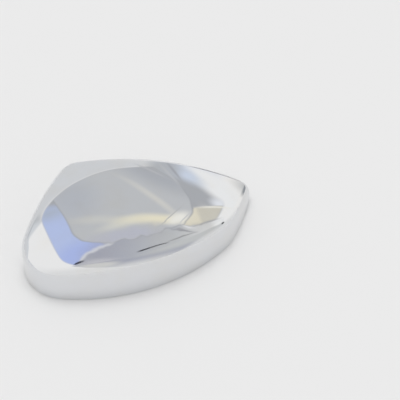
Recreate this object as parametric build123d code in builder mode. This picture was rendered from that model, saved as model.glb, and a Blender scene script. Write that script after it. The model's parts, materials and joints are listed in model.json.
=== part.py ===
from build123d import *
import math
import os

# Wing mirror cover: one moulded shell with a bowed outline, a drafted wall, a rounded shoulder and
# a crowned face, open underneath. It stands on its rim at z = 0 with its crown up. X runs the long
# way, towards the narrow tip, and the origin lies under the middle of the outline's box.
# Lengths are in millimetres and angles in degrees.

# Outline of the rim: four corners joined by four bowed sides
near_length = 202.0
broad_length = 134.0
broad_lean = 32.5
tip_length = 73.5
tip_lean = 33.5
near_bulge = 33.0
tip_bulge = 2.5
far_bulge = 4.0
broad_bulge = 5.0

# Rounding of the outline's corners
near_broad_radius = 41.0
near_tip_radius = 65.0
far_tip_radius = 14.5
far_broad_radius = 21.0

# Crown: part of a large ball, with the place of its summit
height = 49.0
crown_radius = 270.0
summit_x = -20.0
summit_y = 7.5

# Section of the moulding
wall = 2.5
draft_angle = 2.0
shoulder_radius = 10.0
shoulder_turn = 73.0
rim_chamfer = 0.5

# Snap catches that hold the cover on its housing, with their places as shares of each side
catch_width = 12.0
catch_depth = 2.2
catch_height = 5.0
catch_lead_in = 3.8
catch_above_rim = 3.0
near_catches = (0.26, 0.74)
tip_catches = (0.6,)
far_catches = (0.24, 0.76)
broad_catches = (0.5,)

# Locating ribs that centre the cover on its housing, with their places as shares of each side
rib_thickness = 1.4
rib_depth = 3.0
rib_height = 12.0
rib_above_rim = 2.0
near_ribs = (0.38, 0.5, 0.62)
far_ribs = (0.38, 0.62)
broad_ribs = (0.34, 0.66)


def lean_point(start, length, lean):
    """Point at a distance from start, in a direction that leans from +Y towards +X."""
    angle = math.radians(lean)
    return start + Vector(length * math.sin(angle), length * math.cos(angle))


near_broad = Vector(0, 0)
near_tip = Vector(near_length, 0)
far_tip = lean_point(near_tip, tip_length, tip_lean)
far_broad = lean_point(near_broad, broad_length, broad_lean)

with BuildSketch() as outline:
    with BuildLine():
        near_side = SagittaArc(near_broad, near_tip, -near_bulge)
        tip_side = SagittaArc(near_tip, far_tip, -tip_bulge)
        far_side = SagittaArc(far_tip, far_broad, -far_bulge)
        broad_side = SagittaArc(far_broad, near_broad, -broad_bulge)
    make_face()
    corners = (
        (near_broad, near_broad_radius),
        (near_tip, near_tip_radius),
        (far_tip, far_tip_radius),
        (far_broad, far_broad_radius),
    )
    for corner, radius in corners:
        fillet(outline.vertices().sort_by_distance(corner)[0], radius)

# Level distance from the outside of the drafted wall to its inside
level_wall = wall / math.cos(math.radians(draft_angle))


def moved_in(arc, share):
    """Point of an outward-bowed arc, moved towards the arc's centre by the level wall."""
    point = arc @ share
    return point + (arc.arc_center - point).normalized() * level_wall


with BuildSketch() as inner_outline:
    with BuildLine():
        for arc in outline.edges():
            ThreePointArc(moved_in(arc, 0), moved_in(arc, 0.5), moved_in(arc, 1))
    make_face()

box = outline.sketch.bounding_box()
rim_plane = Plane((-box.center().X, -box.center().Y, 0))
crown_centre = (summit_x, summit_y, height - crown_radius)

# The ball's poles lie level, so that none is on the crown
level_poles = (90, 0, 0)

with BuildPart() as outer_form:
    with BuildSketch(rim_plane):
        add(outline.sketch)
    extrude(amount=height + shoulder_radius)
    draft(outer_form.faces().filter_by(GeomType.CYLINDER), rim_plane, draft_angle)
    with Locations(crown_centre):
        Sphere(crown_radius, rotation=level_poles, mode=Mode.INTERSECT)
    fillet(outer_form.faces().filter_by(GeomType.SPHERE).edges(), shoulder_radius)

# Inside, a bevel touches the arc that would keep the wall even round the shoulder
inner_radius = shoulder_radius - wall
half_turn = math.radians(shoulder_turn / 2)
inner_bevel = inner_radius * (math.tan(half_turn) - math.tan(half_turn / 2))

with BuildPart() as inner_form:
    with BuildSketch(rim_plane):
        add(inner_outline.sketch)
    extrude(amount=height)
    draft(inner_form.faces().filter_by(GeomType.CYLINDER), rim_plane, draft_angle)
    with Locations(crown_centre):
        Sphere(crown_radius - wall, rotation=level_poles, mode=Mode.INTERSECT)
    chamfer(inner_form.faces().filter_by(GeomType.SPHERE).edges(), inner_bevel)


def wall_planes(side, shares):
    """Upright planes across the wall at shares of a side, with their x inwards from the rim's edge."""
    planes = []
    for share in shares:
        origin = rim_plane.from_local_coords(side @ share)
        along = side % share
        planes.append(Plane(origin, x_dir=Vector(0, 0, 1).cross(along), z_dir=along))
    return planes


catch_planes = (
    wall_planes(near_side, near_catches)
    + wall_planes(tip_side, tip_catches)
    + wall_planes(far_side, far_catches)
    + wall_planes(broad_side, broad_catches)
)
rib_planes = (
    wall_planes(near_side, near_ribs)
    + wall_planes(far_side, far_ribs)
    + wall_planes(broad_side, broad_ribs)
)

# Catches and ribs root in the middle of the wall, and stand out from its inner face
slope = math.tan(math.radians(draft_angle))
root_x = level_wall / 2
catch_top = catch_above_rim + catch_height
catch_x = level_wall + catch_top * slope + catch_depth
rib_top = rib_above_rim + rib_height
rib_x = level_wall + rib_top * slope + rib_depth

with BuildPart() as cover_shell:
    add(outer_form.part)
    add(inner_form.part, mode=Mode.SUBTRACT)
    chamfer(cover_shell.faces().sort_by(Axis.Z)[0].edges(), rim_chamfer)

    with BuildSketch(*catch_planes):
        with BuildLine():
            Polyline(
                (root_x, catch_above_rim),
                (catch_x, catch_above_rim + catch_lead_in),
                (catch_x, catch_top),
                (root_x, catch_top),
                close=True,
            )
        make_face()
    extrude(amount=catch_width / 2, both=True)

    with BuildSketch(*rib_planes):
        with BuildLine():
            Polyline(
                (root_x, rib_above_rim),
                (rib_x, rib_above_rim + rib_depth),
                (rib_x, rib_top - rib_depth),
                (root_x, rib_top),
                close=True,
            )
        make_face()
    extrude(amount=rib_thickness / 2, both=True)

cover_shell.part.label = "cover_shell"
os.makedirs("parts", exist_ok=True)
export_step(cover_shell.part, "parts/cover_shell.step")
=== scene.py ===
import json
import math
from dataclasses import dataclass

import bpy
import numpy as np
from bpy.props import FloatProperty, FloatVectorProperty, PointerProperty
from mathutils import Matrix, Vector


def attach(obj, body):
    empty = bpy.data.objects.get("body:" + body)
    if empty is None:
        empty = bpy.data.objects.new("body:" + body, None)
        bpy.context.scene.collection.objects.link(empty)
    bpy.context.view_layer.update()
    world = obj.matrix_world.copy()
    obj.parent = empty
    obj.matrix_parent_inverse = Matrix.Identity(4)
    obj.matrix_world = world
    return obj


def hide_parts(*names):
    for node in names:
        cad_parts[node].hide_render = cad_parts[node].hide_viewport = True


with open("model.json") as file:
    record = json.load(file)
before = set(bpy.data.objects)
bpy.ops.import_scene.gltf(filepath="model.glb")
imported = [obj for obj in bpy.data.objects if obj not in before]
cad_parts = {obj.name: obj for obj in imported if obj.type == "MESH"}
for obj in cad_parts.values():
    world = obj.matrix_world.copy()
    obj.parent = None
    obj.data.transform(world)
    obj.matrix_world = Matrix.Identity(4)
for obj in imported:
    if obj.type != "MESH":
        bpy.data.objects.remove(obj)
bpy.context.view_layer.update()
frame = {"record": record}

bl_info = {
    "name": "Wing Mirror Cover",
    "version": (1, 0, 0),
    "blender": (4, 5, 0),
    "location": "View3D > Sidebar > Mirror Cover",
    "description": "Makes a bright plated wing mirror cover and the studio that it lies in",
    "category": "Object",
}

NODE = "cover_shell"
BODY = "root"
PLATING_COLOUR = tuple(frame["record"]["materials"][0]["base_color"])
UP = np.array((0.0, 0.0, 1.0))

# Sides of the outline in order, and the places of catches and ribs as shares of a side from its start
SIDES = ("near", "tip", "far", "broad")
CATCHES = {"near": (0.26, 0.74), "tip": (0.6,), "far": (0.24, 0.76), "broad": (0.5,)}
RIBS = {"near": (0.38, 0.5, 0.62), "far": (0.38, 0.62), "broad": (0.34, 0.66)}

# Points round the outline: in a ring of the shell, along an edge of the floor, and to find its box
SHELL_POINTS = 480
FLOOR_POINTS = 240
BOX_POINTS = 8000

# Rows of faces over each stretch of the shell, outside from the summit down and inside back up
CROWN_ROWS = 44
SHOULDER_ROWS = 18
WALL_ROWS = 10
RIM_EDGE_ROWS = 4
INNER_WALL_ROWS = 6
INNER_SHOULDER_ROWS = 10
INNER_CROWN_ROWS = 24

# Segments across a softened edge of a catch or a rib
EDGE_SEGMENTS = 2

# Grain of the plating's haze, and the levels of its noise between which clean turns to hazed
HAZE_DETAIL = 4.0
HAZE_GRAIN = 0.55
CLEAN_LEVEL = 0.38
HAZED_LEVEL = 0.72

# Grain of the soft noise that makes ripples, folds and puckers, and the mean of a noise's colour
SOFT_DETAIL = 1.0
SOFT_GRAIN = 0.5
NOISE_MEAN = (0.5, 0.5, 0.5)

# Factors that leave out a vector's height
LEVEL_PART = (1.0, 1.0, 0.0)

# Sockets of a Mix node that blends two colours
MIX_FACTOR = 0
MIX_FIRST = 6
MIX_SECOND = 7
MIX_RESULT = 2


def length(label, text, metres):
    """A property that holds a length in metres."""
    return FloatProperty(name=label, description=text, default=metres, precision=5, unit="LENGTH")


def angle(label, text, degrees):
    """A property that holds an angle, given here in degrees."""
    return FloatProperty(name=label, description=text, default=math.radians(degrees), unit="ROTATION")


def number(label, text, value):
    """A property that holds a plain number."""
    return FloatProperty(name=label, description=text, default=value, precision=4)


def colour(label, text, rgb):
    """A property that holds a linear colour."""
    return FloatVectorProperty(name=label, description=text, default=rgb, subtype="COLOR", min=0, max=1)


class CoverShape(bpy.types.PropertyGroup):
    """Sizes of the shell, the same as those of the solid that it stands for."""

    near_length: length("Near length", "Chord of the bowed near side", 0.202)
    broad_length: length("Broad length", "Chord of the broad end", 0.134)
    broad_lean: angle("Broad lean", "Lean of the broad end towards the tip", 32.5)
    tip_length: length("Tip length", "Chord of the narrow tip", 0.0735)
    tip_lean: angle("Tip lean", "Lean of the narrow tip", 33.5)
    near_bulge: length("Near bulge", "How far the near side bows out", 0.033)
    tip_bulge: length("Tip bulge", "How far the tip bows out", 0.0025)
    far_bulge: length("Far bulge", "How far the far side bows out", 0.004)
    broad_bulge: length("Broad bulge", "How far the broad end bows out", 0.005)
    near_broad_radius: length("Near broad radius", "Rounding between near side and broad end", 0.041)
    near_tip_radius: length("Near tip radius", "Rounding between near side and tip", 0.065)
    far_tip_radius: length("Far tip radius", "Rounding between far side and tip", 0.0145)
    far_broad_radius: length("Far broad radius", "Rounding between far side and broad end", 0.021)
    height: length("Height", "Height of the summit over the rim", 0.049)
    crown_radius: length("Crown radius", "Radius of the ball that the crown is part of", 0.27)
    summit_x: length("Summit X", "Place of the summit along the cover", -0.02)
    summit_y: length("Summit Y", "Place of the summit across the cover", 0.0075)
    wall: length("Wall", "Thickness of the moulding", 0.0025)
    draft: angle("Draft", "Lean of the wall that lets it out of its mould", 2.0)
    shoulder_radius: length("Shoulder radius", "Rounding between wall and crown", 0.01)
    rim_radius: length("Rim radius", "Rounding of the rim's two edges", 0.0005)


class HoldingParts(bpy.types.PropertyGroup):
    """Sizes of the catches and ribs inside the wall."""

    catch_width: length("Catch width", "Length of a catch along the wall", 0.012)
    catch_depth: length("Catch depth", "How far a catch stands out from the wall", 0.0022)
    catch_height: length("Catch height", "Height of a catch", 0.005)
    catch_lead_in: length("Catch lead-in", "Height of the ramp below a catch's nose", 0.0038)
    catch_above_rim: length("Catch above rim", "Gap between rim and catch", 0.003)
    rib_thickness: length("Rib thickness", "Thickness of a rib along the wall", 0.0014)
    rib_depth: length("Rib depth", "How far a rib stands out from the wall", 0.003)
    rib_height: length("Rib height", "Height of a rib at its root", 0.012)
    rib_above_rim: length("Rib above rim", "Gap between rim and rib", 0.002)
    edge_softness: length("Edge softness", "Rounding of the edges of catches and ribs", 0.0002)


class PlatingLook(bpy.types.PropertyGroup):
    """Finish of the bright plating outside and of the duller plating inside."""

    bright: colour("Bright plating", "Colour of the clean plating", PLATING_COLOUR)
    hazed: colour("Hazed plating", "Colour where the plating is slightly hazed", (0.77, 0.77, 0.77))
    inside: colour("Inside plating", "Colour of the thin plating inside", (0.66, 0.67, 0.69))
    clean_roughness: number("Clean roughness", "Roughness of the cleanest plating", 0.015)
    hazed_roughness: number("Hazed roughness", "Roughness of the most hazed plating", 0.05)
    inside_clean_roughness: number("Inside clean roughness", "Roughness of clean plating inside", 0.34)
    inside_hazed_roughness: number("Inside hazed roughness", "Roughness of hazed plating inside", 0.46)
    haze_size: length("Haze size", "Size of the hazed patches", 0.03)
    ripple_size: length("Ripple size", "Size of the ripples of the moulded skin", 0.012)
    ripple_depth: length("Ripple depth", "Depth of the ripples of the moulded skin", 0.000004)


class StudioLook(bpy.types.PropertyGroup):
    """Floor, light and camera."""

    floor: colour("Floor", "Colour of the floor", (0.83, 0.83, 0.83))
    floor_reach: length("Floor reach", "How far the floor reaches out from the rim", 4.0)
    floor_gap: length("Floor gap", "Gap that keeps rim and floor from sharing a plane", 0.0001)
    backdrop: colour("Backdrop", "Colour that the camera sees past the floor", (0.82, 0.82, 0.82))
    light_fill: number("Light fill", "Share of the floor's light that comes evenly from all round", 0.62)
    light_lean: angle("Light lean", "Lean of the overhead light, away from the camera", 8.5)
    light_focus: number("Light focus", "How closely the overhead light is gathered", 28.0)
    camera_azimuth: angle("Camera azimuth", "Turn of the camera about the cover", -16.63)
    camera_elevation: angle("Camera elevation", "Height of the camera as an angle", 44.34)
    camera_distance: length("Camera distance", "From the camera to the point it aims at", 0.9673)
    aim_right: length("Aim right", "Aimed point to the right of the cover's origin", 0.0559)
    aim_away: length("Aim away", "Aimed point behind the cover's origin", 0.0419)
    lens: FloatProperty(name="Lens", description="Focal length", default=90.4, unit="CAMERA")


# Tone of the white cloth of the light tent
TENT = (1.01, 1.0, 0.98)


@dataclass
class Oval:
    """A soft oval panel of the tent: its centre, half sizes and turn in degrees, how soft its border is
    as a share of its size, its tone, and the panel that it stays within, if any."""

    name: str
    centre: tuple
    half: tuple
    turn: float
    soft: float
    tone: tuple
    within: str = ""

    # An oval has no edge of another tone
    edge = 0.0

    def reach(self, nodes, spot):
        """Distance from the oval's centre, 1 at its border."""
        placed = {
            "Vector": spot,
            "Location": (*self.centre, 0.0),
            "Rotation": (0.0, 0.0, math.radians(self.turn)),
            "Scale": (*self.half, 1.0),
        }
        turned = nodes.add("Mapping", placed, vector_type="TEXTURE").outputs["Vector"]
        return nodes.add("VectorMath", {0: turned}, operation="LENGTH").outputs["Value"]


@dataclass
class Card:
    """A panel of the tent with straight sides and no inward corner, its corners in degrees, listed
    against the clock.

    It may have an edge of another tone, which stays within the panel named for it, or else within the
    one named for the card. How soft the border is, how wide the edge is and how round the corners are
    come as shares of the card's size."""

    name: str
    corners: tuple
    soft: float
    tone: tuple
    within: str = ""
    edge: float = 0.0
    edge_tone: tuple = TENT
    edge_within: str = ""
    rounding: float = 0.04

    def reach(self, nodes, spot):
        """Distance from the card's middle, 1 at its border: the largest over its sides of the distance
        along that side's normal, as a share of the side's own distance, with the corners rounded."""
        corners = np.array(self.corners, float)
        middle = corners.mean(0)
        along = np.roll(corners, -1, 0) - corners
        normals = np.column_stack((along[:, 1], -along[:, 0]))
        normals /= ((corners - middle) * normals).sum(1, keepdims=True)
        local = nodes.vector("SUBTRACT", spot, (*middle, 0.0))
        farthest = 0.0
        for normal in normals:
            distance = nodes.dot(local, (*normal, 0.0))
            farthest = nodes.math("SMOOTH_MAX", distance, farthest, self.rounding)
        return farthest


# The light tent that the plating mirrors, as a map seen from the cover: x to the camera's right and
# y away from it, in degrees from straight up. Soft panels hang one over the other in a white tent.
# Its cloth sways in wide folds all over, and in small puckers along the hem where two cards meet. The
# hem only marks that place, and its own tone isn't shown.
FOLD_SIZE = 22.0
FOLD_SWAY = 2.0
PUCKER_SIZE = 4.5
PUCKER_SWAY = 5.0
HEM = Oval("puckered hem", (7, 24), (21, 4), 24, 0.6, TENT)
PANELS = (
    Oval("front cloth", (20, -120), (150, 95), 0, 0.35, (0.87, 0.87, 0.86)),
    Oval("right cloth", (92, 0), (36, 52), 0, 0.4, (0.84, 0.84, 0.83)),
    Card(
        "left screen",
        ((-130, -80), (-84, -58), (-82, 8), (-130, 18)),
        0.2,
        (0.74, 0.76, 0.79),
        rounding=0.2,
    ),
    Card(
        "left cloth",
        ((-95, 5), (-39.6, 23.3), (-31, 35.3), (-31, 60), (-95, 60)),
        0.03,
        (0.76, 0.78, 0.8),
    ),
    Card(
        "back cloth",
        ((-95, 9), (9, 53.5), (13, 92), (-20, 110), (-95, 100)),
        0.06,
        (0.75, 0.76, 0.77),
    ),
    Oval("top glow", (1, 82), (16, 12), 0, 0.6, (0.85, 0.85, 0.85), "back cloth"),
    Oval("left shade", (-40, 35.5), (13, 4), -8, 0.6, (0.58, 0.6, 0.62), "back cloth"),
    Oval("blue glow", (19, 66), (8, 14), -10, 0.7, (0.7, 0.76, 0.88)),
    # Painted shadow: a dark strip low in the tent that stands in for shade, mirrored as a dark line
    # along the far edge
    Oval("painted far shadow", (27, 84), (11, 9), 15, 0.2, (0.24, 0.24, 0.26)),
    # Painted shade: a dark patch beside the tip that stands in for a shaded neighbouring object,
    # mirrored as dark marks at the tip
    Oval("painted tip shade", (55, 72), (17, 10), 0, 0.4, (0.34, 0.36, 0.38)),
    Card(
        "dark card",
        (
            (-32, 36), (-30.5, 28.6), (-25.1, 15.4), (-23.8, 12.7), (-19.8, 10.2), (-16, 8.5), (14, 5),
            (33.2, 40), (34.8, 53.5), (20, 68), (-9, 61), (-21, 53.5), (-29, 44.5),
        ),
        0.02,
        (0.49, 0.5, 0.52),
        edge=0.035,
        edge_tone=(0.83, 0.83, 0.83),
        edge_within="back cloth",
        rounding=0.12,
    ),
    Oval("right haze", (30.3, 61.3), (17, 6), -39, 0.45, (1.0, 1.0, 0.99)),
    Oval("blue fringe", (18, 63.8), (7.5, 3.5), -34, 0.8, (0.72, 0.79, 0.91)),
    Oval("fold shade", (10.6, 65), (5.2, 10), 0, 0.6, (0.55, 0.57, 0.6)),
    Card(
        "blue card",
        ((-44, 36), (-20, -5), (10, 8), (0, 22), (-16, 39), (-30, 42)),
        0.2,
        (0.56, 0.65, 0.93),
        "dark card",
    ),
    Oval("blue deep", (-17, 14), (9, 6), 20, 0.7, (0.49, 0.58, 0.93), "blue card"),
    Oval("blue top", (-29, 40.5), (8, 6), 0, 0.7, (0.52, 0.58, 0.71), "blue card"),
    Oval("blue foot", (-2, 18), (12, 6), 25, 0.7, (0.45, 0.49, 0.7), "dark card"),
    Card(
        "front card",
        (
            (36, 41), (-4.4, 19.5), (-14.3, 13.2), (-16.5, 9.5), (-19, 2), (-19, -4),
            (-10, -31), (6, -54), (22, -70), (46, -81), (64, -66), (80, -28), (66, 15),
        ),
        0.015,
        (0.435, 0.45, 0.525),
        edge=0.025,
        edge_tone=(0.78, 0.79, 0.83),
        rounding=0.03,
    ),
    Oval("front grey", (48, 14), (41, 36), 0, 0.5, (0.65, 0.66, 0.655), "front card"),
    Oval("front far", (36, 33), (13, 8), 25, 0.6, (0.78, 0.78, 0.77), "front card"),
    Oval("front right", (84, -22), (17, 46), 20, 0.5, (0.81, 0.81, 0.8), "front card"),
    Oval("front glow", (20, -118), (110, 72), 0, 0.5, (0.82, 0.82, 0.81), "front card"),
    Oval("front pale", (-5, -22), (28, 10), -71, 0.5, (0.74, 0.74, 0.73), "front card"),
    Oval("front lip", (-9, 9.8), (7.5, 1.6), 5, 0.8, (0.62, 0.62, 0.67), "front card"),
    Oval("far corner", (41, 33.5), (14, 4), -42, 0.6, (0.98, 0.98, 0.96)),
    Oval("wedge glow", (33.5, 50.5), (3.6, 3), 0, 0.7, (0.91, 0.93, 0.97), "dark card"),
    Card(
        "warm card",
        ((18, 30), (27.1, 34), (33.2, 40.6), (34.2, 50.2), (24, 43)),
        0.04,
        (0.72, 0.69, 0.6),
        "dark card",
        edge=0.03,
        edge_tone=(0.5, 0.5, 0.5),
    ),
    Card(
        "warm light",
        ((20.5, 31), (27.4, 35.6), (24.4, 43.5)),
        0.5,
        (0.89, 0.84, 0.69),
        "warm card",
    ),
    Oval("warm line", (31, 47.3), (6, 0.5), 30, 0.9, (0.98, 0.96, 0.88)),
    Card(
        "grey card",
        (
            (-27.5, 47), (-19.5, 24.5), (-15.5, 20.5), (-9, 19.2), (-1, 20.1), (10.5, 24.5),
            (20.5, 31.5), (23.5, 40), (22, 47.5), (14.5, 57.5), (2, 68), (-20, 62),
        ),
        0.02,
        (0.62, 0.63, 0.64),
        "dark card",
        edge=0.02,
        edge_tone=(0.46, 0.47, 0.49),
        rounding=0.06,
    ),
    Oval("card left", (-21, 45), (8, 13), 20, 0.8, (0.56, 0.58, 0.62), "grey card"),
    Oval("card top", (9, 60), (16, 7), -30, 0.7, (0.51, 0.525, 0.555), "grey card"),
    Oval("card foot", (0, 21.5), (14, 4.5), 14, 0.6, (0.59, 0.6, 0.67), "grey card"),
    Oval("thin light", (10, 43.5), (14, 1.3), -41, 0.9, (0.74, 0.73, 0.69), "grey card"),
    Oval("faint streak", (-10, 31), (9, 2), -2, 0.9, (0.69, 0.69, 0.66), "grey card"),
    Oval("strip tail", (0, 29.5), (8, 2), 24, 0.9, (0.79, 0.78, 0.7), "grey card"),
    Oval("strip light", (12.4, 33), (12.4, 2.2), 9, 0.9, (0.96, 0.9, 0.7), "grey card"),
    Oval("crumple light", (19, 35), (4.6, 2.4), 51, 0.8, (1.0, 0.98, 0.9), "grey card"),
    Oval("long crease", (15.8, 35.3), (7, 0.2), 62, 0.8, (0.56, 0.56, 0.55), "grey card"),
    Oval("short crease", (21.2, 36.2), (4.5, 0.25), 66, 0.8, (0.7, 0.7, 0.7), "grey card"),
    Oval("upper crease", (6.3, 62), (5.5, 0.5), -33, 0.8, (0.58, 0.59, 0.62)),
    Oval("middle crease", (12.3, 62), (7.5, 0.5), -57, 0.8, (0.6, 0.61, 0.63)),
    Oval("right crease", (13.7, 64.6), (6, 0.5), -60, 0.8, (0.46, 0.47, 0.5)),
    Oval("seam fold", (21, 28.7), (4, 0.5), 10, 0.8, (0.42, 0.42, 0.44)),
    Oval("seam line", (28.9, 36.3), (6, 0.4), 47, 0.8, (0.5, 0.5, 0.5)),
    Oval("seam light", (22.9, 31), (2.5, 0.5), 8, 0.8, (0.88, 0.88, 0.88)),
    Card("rod", ((5.6, 15.5), (5.9, 15), (16.3, 20.75), (16.15, 21.05)), 0.25, (0.06, 0.06, 0.07)),
    Oval("rod end", (20.8, 25.2), (6, 0.3), 40, 0.5, (0.42, 0.42, 0.42)),
    Oval("stand foot", (-16.7, 10.7), (1.9, 0.5), 17, 0.4, (0.04, 0.04, 0.06)),
    Oval("clip", (58, 23), (6, 2), -38, 0.4, (0.06, 0.06, 0.06)),
)


def lean_vector(distance, lean):
    """A step of that distance in a direction that leans from +Y towards +X."""
    return distance * np.array((math.sin(lean), math.cos(lean)))


def side_circle(start, end, bulge):
    """Centre and radius of the circle through two corners that bows out by the bulge between them.

    Radius = (chord squared / 4 + bulge squared) / twice the bulge. The centre lies on the chord's
    middle line, the radius in from the bow."""
    chord = end - start
    span = np.linalg.norm(chord)
    radius = (span**2 / 4 + bulge**2) / (2 * bulge)
    outwards = np.array((chord[1], -chord[0])) / span
    return (start + end) / 2 + outwards * (bulge - radius), radius


def rounding_centre(before, after, radius, corner):
    """Centre of the circle that rounds the corner of two sides and touches both from inside.

    It lies as far from each side's centre as that side's radius less its own, so it is where two
    circles cross, on the corner's side of the line between their centres."""
    (first, first_radius), (second, second_radius) = before, after
    gap = second - first
    span = np.linalg.norm(gap)
    from_first = first_radius - radius
    from_second = second_radius - radius
    along = (span**2 + from_first**2 - from_second**2) / (2 * span)
    across = math.sqrt(from_first**2 - along**2)
    direction = gap / span
    side = np.array((-direction[1], direction[0]))
    if np.dot(corner - first, side) < 0:
        side = -side
    return first + direction * along + side * across


def heading(vector):
    """Angle of a level vector."""
    return math.atan2(vector[1], vector[0])


class Outline:
    """The rim's outline: four bowed sides and four rounded corners, centred on its own box."""

    def __init__(self, shape):
        near_broad = np.zeros(2)
        near_tip = np.array((shape.near_length, 0.0))
        far_tip = near_tip + lean_vector(shape.tip_length, shape.tip_lean)
        far_broad = near_broad + lean_vector(shape.broad_length, shape.broad_lean)
        self.starts = [near_broad, near_tip, far_tip, far_broad]
        self.ends = [near_tip, far_tip, far_broad, near_broad]
        bulges = (shape.near_bulge, shape.tip_bulge, shape.far_bulge, shape.broad_bulge)
        radii = (
            shape.near_broad_radius,
            shape.near_tip_radius,
            shape.far_tip_radius,
            shape.far_broad_radius,
        )
        self.circles = [side_circle(*side) for side in zip(self.starts, self.ends, bulges)]
        befores = self.circles[-1:] + self.circles[:-1]
        centres = [rounding_centre(*corner) for corner in zip(befores, self.circles, radii, self.starts)]
        # An arc is its centre, its radius, the angle that it begins at and its turn
        arcs = []
        for side, (middle, radius) in enumerate(self.circles):
            before, _ = befores[side]
            corner_begin = heading(centres[side] - before)
            begin = heading(centres[side] - middle)
            end = heading(centres[(side + 1) % len(SIDES)] - middle)
            arcs.append((*centres[side], radii[side], corner_begin, (begin - corner_begin) % math.tau))
            arcs.append((*middle, radius, begin, (end - begin) % math.tau))
        self.arcs = np.array(arcs)
        points, _ = self.ring(BOX_POINTS)
        self.shift = -(points.min(0) + points.max(0)) / 2
        self.arcs[:, :2] += self.shift

    def ring(self, count):
        """Points and outward normals round the outline, as two arrays.

        Each arc takes a share of the points halfway between its share of the length and its share of
        the turn, so that tight corners get more. A point is its arc's centre plus the radius times the
        normal."""
        x, y, radius, begin, turn = self.arcs.T
        weight = radius * turn / (radius * turn).sum() + turn / turn.sum()
        ends = np.concatenate(((0.0,), np.cumsum(weight) / weight.sum()))
        place = np.arange(count) / count
        arc = np.clip(np.searchsorted(ends, place, side="right") - 1, 0, len(x) - 1)
        theta = begin[arc] + turn[arc] * (place - ends[arc]) / (ends[arc + 1] - ends[arc])
        normals = np.stack((np.cos(theta), np.sin(theta)), 1)
        points = np.stack((x[arc], y[arc]), 1) + radius[arc, None] * normals
        return points, normals

    def side_places(self, side, shares):
        """Points and outward normals at shares of a whole side, from its first corner to its second.

        A point is the side's centre plus the radius times the normal, whose angle goes evenly along."""
        middle, radius = self.circles[side]
        begin = heading(self.starts[side] - middle)
        turn = (heading(self.ends[side] - middle) - begin) % math.tau
        theta = begin + turn * np.array(shares)
        normals = np.stack((np.cos(theta), np.sin(theta)), 1)
        return middle + self.shift + radius * normals, normals


def swing(first, second, shares):
    """Unit vectors that swing evenly from one unit vector to another, a row of them for each share.

    Each is sin((1 - share) * turn) * first plus sin(share * turn) * second, divided by sin(turn)."""
    turn = np.arccos(np.clip((first * second).sum(-1, keepdims=True), -1, 1))
    done = np.asarray(shares)[:, None, None]
    return (np.sin((1 - done) * turn) * first + np.sin(done * turn) * second) / np.sin(turn)


def steps(count):
    """Shares from just past 0 up to 1."""
    return np.arange(1, count + 1) / count


def cover_rings(shape, count):
    """Rings of points and normals, from the outer summit down to the rim and up to the inner summit.

    The wall leans in by the draft: a point at height z is the rim's point less normal times z times
    tan(draft). The crown is a ball. A smaller ball that touches wall and crown rolls round the
    shoulder. The height where it touches the wall solves a quadratic, because its centre lies on the
    crown's ball less its own radius. The inner skin is the outer one less the wall along the normal.
    Both rim edges are arcs.

    The two summits come next, and last the number of rows that have the plating of the outside."""
    base, level = Outline(shape).ring(count)
    slope = math.tan(shape.draft)
    rise = math.sin(shape.draft)
    wall_normal = np.column_stack((level * math.cos(shape.draft), np.full(count, rise)))
    ball = np.array((shape.summit_x, shape.summit_y, shape.height - shape.crown_radius))
    radius = shape.shoulder_radius

    def on_wall(z):
        """Points of the outer wall at heights z, an array of rows or one row."""
        z = np.asarray(z)[..., None] * np.ones((count, 1))
        return np.concatenate((base - level * z * slope, z), -1)

    reach = base - level * radius * math.cos(shape.draft) - ball[:2]
    lift = radius * rise + ball[2]
    half = (slope * (reach * level).sum(1) + lift) / (1 + slope**2)
    rest = ((reach**2).sum(1) + lift**2 - (shape.crown_radius - radius) ** 2) / (1 + slope**2)
    touch = half + np.sqrt(half**2 - rest)
    centre = on_wall(touch) - radius * wall_normal
    crown_normal = (centre - ball) / np.linalg.norm(centre - ball, axis=1, keepdims=True)

    rim = shape.rim_radius
    outer_rim = rim * (1 + rise)
    inner_rim = rim + (shape.wall - rim) * rise
    up = np.broadcast_to(UP, (count, 3))
    points = []
    normals = []

    def add(place, normal):
        """Adds rows of points and their normals."""
        points.append(place)
        normals.append(np.broadcast_to(normal, place.shape))

    crown = swing(up, crown_normal, steps(CROWN_ROWS))
    add(ball + shape.crown_radius * crown, crown)
    shoulder = swing(crown_normal, wall_normal, steps(SHOULDER_ROWS))
    add(centre + radius * shoulder, shoulder)
    down = touch + (outer_rim - touch) * steps(WALL_ROWS)[:, None]
    add(on_wall(down), wall_normal)
    outer_edge = swing(wall_normal, -up, steps(RIM_EDGE_ROWS))
    add(on_wall(np.full(count, outer_rim)) - rim * wall_normal + rim * outer_edge, outer_edge)
    inner_edge = swing(-up, -wall_normal, np.linspace(0, 1, RIM_EDGE_ROWS + 1))
    inner_centre = on_wall(np.full(count, inner_rim)) - (shape.wall - rim) * wall_normal
    add(inner_centre + rim * inner_edge, inner_edge)
    outside = sum(len(rows) for rows in points)
    back_up = inner_rim + (touch - inner_rim) * steps(INNER_WALL_ROWS)[:, None]
    add(on_wall(back_up) - shape.wall * wall_normal, -wall_normal)
    bend = swing(wall_normal, crown_normal, steps(INNER_SHOULDER_ROWS))
    add(centre + (radius - shape.wall) * bend, -bend)
    vault = swing(crown_normal, up, steps(INNER_CROWN_ROWS)[:-1])
    add(ball + (shape.crown_radius - shape.wall) * vault, -vault)
    summits = ball + np.outer((shape.crown_radius, shape.crown_radius - shape.wall), UP)
    return np.concatenate(points), np.concatenate(normals), summits, outside


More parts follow.
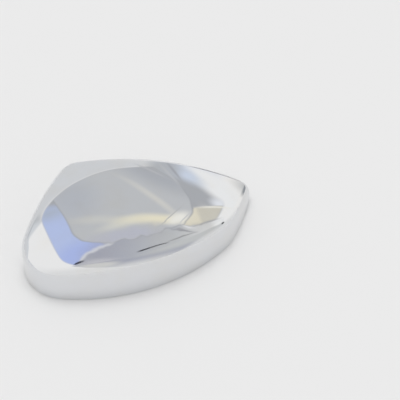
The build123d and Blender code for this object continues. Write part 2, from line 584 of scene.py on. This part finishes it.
def ring_faces(rows, count):
    """Faces over rings that start and end in a summit: a fan, bands of four-sided faces, and a fan.

    Vertex 0 is the first summit, then the rings follow, and the last vertex is the second summit."""
    here = np.arange(count)
    ahead = (here + 1) % count
    first = 1 + np.stack((np.full(count, -1), here, ahead), 1)
    start = 1 + count * np.arange(rows - 1)[:, None]
    bands = np.stack((start + here, start + count + here, start + count + ahead, start + ahead), -1)
    end = 1 + count * (rows - 1)
    last = np.stack((end + here, np.full(count, 1 + count * rows), end + ahead), 1)
    return first.tolist() + bands.reshape(-1, 4).tolist() + last.tolist()


def new_piece(name, points, faces):
    """A mesh object at the origin, linked to the scene."""
    mesh = bpy.data.meshes.new(name)
    mesh.from_pydata(points.tolist(), [], faces)
    mesh.validate()
    piece = bpy.data.objects.new(name, mesh)
    bpy.context.scene.collection.objects.link(piece)
    return piece


def dress(piece, *materials):
    """Gives a piece its materials, and ties it to the frame as a stand-in for the solid."""
    for material in materials:
        piece.data.materials.append(material)
    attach(piece, BODY)
    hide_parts(NODE)


def carried_profiles(places, normals, profile, width):
    """Blocks along a wall: one profile, inwards and up, carried along the wall by a width.

    A point is the place plus inwards times the profile's first value, up times its second and along
    times plus or minus half the width. All blocks are made at once."""
    inwards = np.column_stack((-normals, np.zeros(len(normals))))
    along = np.cross(inwards, UP)
    origin = np.column_stack((places, np.zeros(len(places))))
    section = profile[:, 0, None] * inwards[:, None] + profile[:, 1, None] * UP
    ends = along[:, None] * (width / 2 * np.array((-1.0, 1.0)))[:, None]
    points = origin[:, None, None] + ends[:, :, None] + section[:, None]
    size = len(profile)
    here = np.arange(size)
    ahead = (here + 1) % size
    sides = np.stack((here, ahead, ahead + size, here + size), 1).tolist()
    block = sides + [here[::-1].tolist(), (here + size).tolist()]
    starts = 2 * size * np.arange(len(places))
    faces = [[start + corner for corner in face] for start in starts.tolist() for face in block]
    return points.reshape(-1, 3), faces


def wall_places(outline, layout):
    """Points and normals of all places of a layout that names sides and shares."""
    found = [outline.side_places(SIDES.index(side), shares) for side, shares in layout.items()]
    places, normals = zip(*found)
    return np.concatenate(places), np.concatenate(normals)


def level_wall(shape):
    """Level distance from the outside of the drafted wall to its inside: wall / cos(draft)."""
    return shape.wall / math.cos(shape.draft)


def inner_face(shape, z):
    """Level distance from the rim's edge to the inside of the wall at a height: the level wall plus the
    height times tan(draft)."""
    return level_wall(shape) + z * math.tan(shape.draft)


def soften_edges(piece, radius):
    """Rounds the edges of a moulded block."""
    bevel = piece.modifiers.new("soft edges", "BEVEL")
    bevel.width = radius
    bevel.segments = EDGE_SEGMENTS
    bevel.limit_method = "ANGLE"


class Nodes:
    """Empties a tree, adds nodes to it and joins their sockets."""

    def __init__(self, tree):
        self.tree = tree
        tree.nodes.clear()

    def add(self, kind, inputs=(), **settings):
        """A node with its settings, whose inputs are values or sockets of other nodes."""
        node = self.tree.nodes.new("ShaderNode" + kind)
        for name, value in settings.items():
            setattr(node, name, value)
        for key, value in dict(inputs).items():
            if isinstance(value, bpy.types.NodeSocket):
                self.tree.links.new(value, node.inputs[key])
            else:
                node.inputs[key].default_value = value
        return node

    def math(self, operation, *values):
        """Output of a Math node."""
        return self.add("Math", enumerate(values), operation=operation).outputs[0]

    def vector(self, operation, *values):
        """Vector output of a Vector Math node."""
        return self.add("VectorMath", enumerate(values), operation=operation).outputs["Vector"]

    def dot(self, first, second):
        """Dot product of two vectors."""
        return self.add("VectorMath", {0: first, 1: second}, operation="DOT_PRODUCT").outputs["Value"]

    def scaled(self, vector, amount):
        """A vector times a number."""
        return self.add("VectorMath", {0: vector, "Scale": amount}, operation="SCALE").outputs["Vector"]

    def noise(self, spot, size, detail, grain):
        """A Noise Texture with features of about that size."""
        inputs = {"Vector": spot, "Scale": 1 / size, "Detail": detail, "Roughness": grain}
        return self.add("TexNoise", inputs)

    def soft_step(self, value, start, end, first, last):
        """A number that goes smoothly from first to last while a value goes from start to end."""
        inputs = {"Value": value, "From Min": start, "From Max": end, "To Min": first, "To Max": last}
        return self.add("MapRange", inputs, interpolation_type="SMOOTHSTEP").outputs["Result"]

    def blend(self, factor, first, second):
        """Colour between two colours."""
        inputs = {MIX_FACTOR: factor, MIX_FIRST: first, MIX_SECOND: second}
        return self.add("Mix", inputs, data_type="RGBA").outputs[MIX_RESULT]

    def mix_shaders(self, factor, first, second):
        """Shader between two shaders."""
        return self.add("MixShader", enumerate((factor, first, second))).outputs["Shader"]


def opaque(rgb):
    """A colour with its alpha."""
    return (*rgb, 1.0)


def haze_pattern(nodes, spot, look):
    """Soft patches of haze over the plating, from 0 where it is clean to 1 where it is hazed."""
    noise = nodes.noise(spot, look.haze_size, HAZE_DETAIL, HAZE_GRAIN).outputs["Fac"]
    return nodes.soft_step(noise, CLEAN_LEVEL, HAZED_LEVEL, 0.0, 1.0)


def plating_material(name, look, bright, clean_roughness, hazed_roughness):
    """Metal plating with faint haze, and the low ripple of the moulded skin under it."""
    material = bpy.data.materials.new(name)
    material.use_nodes = True
    nodes = Nodes(material.node_tree)
    spot = nodes.add("TexCoord").outputs["Object"]
    haze = haze_pattern(nodes, spot, look)
    tint = nodes.blend(haze, opaque(bright), opaque(look.hazed))
    rough = {"Value": haze, "To Min": clean_roughness, "To Max": hazed_roughness}
    roughness = nodes.add("MapRange", rough).outputs["Result"]
    ripple = nodes.noise(spot, look.ripple_size, SOFT_DETAIL, SOFT_GRAIN).outputs["Fac"]
    bump = nodes.add("Bump", {"Height": ripple, "Distance": look.ripple_depth}).outputs["Normal"]
    metal = {"Base Color": tint, "Roughness": roughness, "Metallic": 1.0, "Normal": bump}
    shader = nodes.add("BsdfPrincipled", metal)
    nodes.add("OutputMaterial", {"Surface": shader.outputs["BSDF"]})
    return material


def bright_plating(look):
    """The mirror plating that shows outside."""
    return plating_material(
        "bright plating", look, look.bright, look.clean_roughness, look.hazed_roughness
    )


def inside_plating(look):
    """The thin, dull plating inside the shell."""
    return plating_material(
        "inside plating", look, look.inside, look.inside_clean_roughness, look.inside_hazed_roughness
    )


def floor_material(studio):
    """Pale matt board that shows from above only."""
    material = bpy.data.materials.new("pale board")
    material.use_nodes = True
    nodes = Nodes(material.node_tree)
    matt = {"Base Color": opaque(studio.floor), "Specular IOR Level": 0.0}
    board = nodes.add("BsdfPrincipled", matt).outputs["BSDF"]
    clear = nodes.add("BsdfTransparent").outputs["BSDF"]
    below = nodes.add("NewGeometry").outputs["Backfacing"]
    nodes.add("OutputMaterial", {"Surface": nodes.mix_shaders(below, board, clear)})
    return material


def swayed(nodes, spot, size, amount):
    """A place of the map, moved by soft noise of that size, by up to about half the amount."""
    noise = nodes.noise(spot, size, SOFT_DETAIL, SOFT_GRAIN).outputs["Color"]
    centred = nodes.vector("SUBTRACT", noise, NOISE_MEAN)
    level = nodes.vector("MULTIPLY", centred, LEVEL_PART)
    return nodes.vector("ADD", spot, nodes.scaled(level, amount))


def soft_mask(nodes, reach, soft, wider=0.0):
    """1 inside a panel and 0 outside it, with a soft border that may lie a little wider out."""
    border = 1 + wider
    return nodes.soft_step(reach, border - soft, border + soft, 1.0, 0.0)


def tent_map(nodes, azimuth):
    """Direction of a ray as degrees from straight up: x to the camera's right, y away from it.

    The place is the ray's level direction times its angle from straight up. Soft noise sways it a
    little, as the folds of the tent's cloth do, and more finely at the hem."""
    ray = nodes.add("TexCoord").outputs["Generated"]
    turn = {"Vector": ray, "Angle": -azimuth}
    turned = nodes.add("VectorRotate", turn, rotation_type="Z_AXIS").outputs["Vector"]
    tilt = nodes.add("SeparateXYZ", {0: turned}).outputs["Z"]
    degrees = nodes.math("DEGREES", nodes.math("ARCCOSINE", tilt))
    level = nodes.vector("NORMALIZE", nodes.vector("MULTIPLY", turned, LEVEL_PART))
    folded = swayed(nodes, nodes.scaled(level, degrees), FOLD_SIZE, FOLD_SWAY)
    at_hem = soft_mask(nodes, HEM.reach(nodes, folded), HEM.soft)
    return swayed(nodes, folded, PUCKER_SIZE, nodes.math("MULTIPLY", at_hem, PUCKER_SWAY))


def tent_colour(nodes, azimuth):
    """Colour of the tent in a ray's direction: white cloth, with the panels laid over it in order."""
    spot = tent_map(nodes, azimuth)
    shown = opaque(TENT)
    masks = {}
    for panel in PANELS:
        reach = panel.reach(nodes, spot)
        if panel.edge:
            line = soft_mask(nodes, reach, panel.soft, panel.edge)
            limit = panel.edge_within or panel.within
            if limit:
                line = nodes.math("MULTIPLY", line, masks[limit])
            shown = nodes.blend(line, shown, opaque(panel.edge_tone))
        mask = soft_mask(nodes, reach, panel.soft)
        if panel.within:
            mask = nodes.math("MULTIPLY", mask, masks[panel.within])
        shown = nodes.blend(mask, shown, opaque(panel.tone))
        masks[panel.name] = mask
    return shown


def floor_light(nodes, studio):
    """Strength of the light that falls on the floor from the direction of a ray.

    It is an even fill and a soft light overhead: a peak times the cosine of the angle from its axis, to
    the power of its focus. That lights open floor by peak * 2 cos(lean) / (focus + 2), so the peak is
    the one that brings both together to 1."""
    lean = studio.light_lean
    azimuth = studio.camera_azimuth
    level = math.sin(lean)
    axis = (-level * math.sin(azimuth), level * math.cos(azimuth), math.cos(lean))
    peak = (1 - studio.light_fill) * (studio.light_focus + 2) / (2 * math.cos(lean))
    ray = nodes.add("TexCoord").outputs["Generated"]
    facing = nodes.math("MAXIMUM", nodes.dot(ray, axis), 0.0)
    lamp = nodes.math("POWER", facing, studio.light_focus)
    return nodes.math("MULTIPLY_ADD", lamp, peak, studio.light_fill)


def light_tent(studio):
    """World of a soft white light, with a plain backdrop for the camera and the tent for the plating."""
    world = bpy.data.worlds.new("light tent")
    world.use_nodes = True
    nodes = Nodes(world.node_tree)
    path = nodes.add("LightPath").outputs
    light = floor_light(nodes, studio)
    seen = nodes.blend(path["Is Camera Ray"], light, opaque(studio.backdrop))
    plain = nodes.add("Background", {"Color": seen}).outputs["Background"]
    panels = tent_colour(nodes, studio.camera_azimuth)
    tent = nodes.add("Background", {"Color": panels}).outputs["Background"]
    nodes.add("OutputWorld", {"Surface": nodes.mix_shaders(path["Is Glossy Ray"], plain, tent)})
    bpy.context.scene.world = world


def lay_floor(studio, shape):
    """Floor round the cover: a band from under the rim outwards, as far as its reach.

    Its points are those of the outline, moved along their normals. It is open under the hollow, so
    that light from below shows the inside."""
    count = FLOOR_POINTS
    base, level = Outline(shape).ring(count)
    rings = np.concatenate((base - level * shape.wall / 2, base + level * studio.floor_reach))
    points = np.column_stack((rings, np.full(2 * count, -studio.floor_gap)))
    here = np.arange(count)
    ahead = (here + 1) % count
    faces = np.stack((here, here + count, ahead + count, ahead), 1)
    floor = new_piece("floor", points, faces.tolist())
    floor.data.materials.append(floor_material(studio))


def set_camera(studio):
    """Camera at the photograph's angle, aimed at a point on the floor beside the cover."""
    right = Vector((math.cos(studio.camera_azimuth), math.sin(studio.camera_azimuth), 0))
    away = Vector((-right.y, right.x, 0))
    aim = right * studio.aim_right + away * studio.aim_away
    flat = math.cos(studio.camera_elevation)
    back = Vector((0, 0, math.sin(studio.camera_elevation))) - away * flat
    data = bpy.data.cameras.new("camera")
    data.lens = studio.lens
    camera = bpy.data.objects.new("camera", data)
    camera.location = aim + back * studio.camera_distance
    camera.rotation_euler = (-back).to_track_quat("-Z", "Y").to_euler()
    bpy.context.scene.collection.objects.link(camera)
    bpy.context.scene.camera = camera


def make_blocks(scene, name, layout, profile, width):
    """One piece of like blocks at all places of a layout, moulded on the wall and plated as it is."""
    places, normals = wall_places(Outline(scene.cover_shape), layout)
    points, faces = carried_profiles(places, normals, np.array(profile), width)
    piece = new_piece(name, points, faces)
    soften_edges(piece, scene.holding_parts.edge_softness)
    dress(piece, inside_plating(scene.plating_look))


class MIRRORCOVER_OT_shell(bpy.types.Operator):
    """Make the plated shell"""

    bl_idname = "mirror_cover.shell"
    bl_label = "Shell"
    bl_options = {"REGISTER", "UNDO"}

    def execute(self, context):
        count = SHELL_POINTS
        points, normals, summits, outside = cover_rings(context.scene.cover_shape, count)
        places = np.concatenate((summits[:1], points.reshape(-1, 3), summits[1:]))
        shell = new_piece("plated_shell", places, ring_faces(len(points), count))
        facing = np.concatenate((UP[None], normals.reshape(-1, 3), -UP[None]))
        mesh = shell.data
        mesh.polygons.foreach_set("use_smooth", np.ones(len(mesh.polygons), bool))
        mesh.normals_split_custom_set_from_vertices(facing.tolist())
        look = context.scene.plating_look
        dress(shell, bright_plating(look), inside_plating(look))
        inside = np.arange(len(mesh.polygons)) >= count * outside
        mesh.polygons.foreach_set("material_index", inside.astype(np.int32))
        mesh.update()
        return {"FINISHED"}


class MIRRORCOVER_OT_catches(bpy.types.Operator):
    """Make the snap catches inside the wall"""

    bl_idname = "mirror_cover.catches"
    bl_label = "Catches"
    bl_options = {"REGISTER", "UNDO"}

    def execute(self, context):
        shape = context.scene.cover_shape
        parts = context.scene.holding_parts
        root = level_wall(shape) / 2
        foot = parts.catch_above_rim
        top = foot + parts.catch_height
        nose = inner_face(shape, top) + parts.catch_depth
        profile = (
            (root, foot),
            (nose, foot + parts.catch_lead_in),
            (nose, top),
            (root, top),
        )
        make_blocks(context.scene, "snap_catches", CATCHES, profile, parts.catch_width)
        return {"FINISHED"}


class MIRRORCOVER_OT_ribs(bpy.types.Operator):
    """Make the locating ribs inside the wall"""

    bl_idname = "mirror_cover.ribs"
    bl_label = "Ribs"
    bl_options = {"REGISTER", "UNDO"}

    def execute(self, context):
        shape = context.scene.cover_shape
        parts = context.scene.holding_parts
        root = level_wall(shape) / 2
        foot = parts.rib_above_rim
        top = foot + parts.rib_height
        edge = inner_face(shape, top) + parts.rib_depth
        profile = (
            (root, foot),
            (edge, foot + parts.rib_depth),
            (edge, top - parts.rib_depth),
            (root, top),
        )
        make_blocks(context.scene, "locating_ribs", RIBS, profile, parts.rib_thickness)
        return {"FINISHED"}


class MIRRORCOVER_OT_stage(bpy.types.Operator):
    """Lay the floor, light the tent and set the camera"""

    bl_idname = "mirror_cover.stage"
    bl_label = "Stage"
    bl_options = {"REGISTER", "UNDO"}

    def execute(self, context):
        studio = context.scene.studio_look
        lay_floor(studio, context.scene.cover_shape)
        light_tent(studio)
        set_camera(studio)
        context.scene.view_settings.view_transform = "Standard"
        return {"FINISHED"}


class MIRRORCOVER_PT_panel(bpy.types.Panel):
    """Lists the pieces of the cover and its stage"""

    bl_idname = "MIRRORCOVER_PT_panel"
    bl_label = "Mirror Cover"
    bl_space_type = "VIEW_3D"
    bl_region_type = "UI"
    bl_category = "Mirror Cover"

    def draw(self, context):
        for operator in OPERATORS:
            self.layout.operator(operator.bl_idname)


GROUPS = {
    "cover_shape": CoverShape,
    "holding_parts": HoldingParts,
    "plating_look": PlatingLook,
    "studio_look": StudioLook,
}
OPERATORS = (MIRRORCOVER_OT_shell, MIRRORCOVER_OT_catches, MIRRORCOVER_OT_ribs, MIRRORCOVER_OT_stage)
CLASSES = (*GROUPS.values(), *OPERATORS, MIRRORCOVER_PT_panel)


def register():
    """Registers the classes, and gives the scene its groups of values."""
    for cls in CLASSES:
        bpy.utils.register_class(cls)
    for name, group in GROUPS.items():
        setattr(bpy.types.Scene, name, PointerProperty(type=group))


def unregister():
    """Takes the groups and the classes away again."""
    for name in GROUPS:
        delattr(bpy.types.Scene, name)
    for cls in reversed(CLASSES):
        bpy.utils.unregister_class(cls)


def main():
    """Makes the cover and its stage."""
    register()
    bpy.ops.mirror_cover.shell()
    bpy.ops.mirror_cover.catches()
    bpy.ops.mirror_cover.ribs()
    bpy.ops.mirror_cover.stage()


if __name__ == "__main__":
    main()
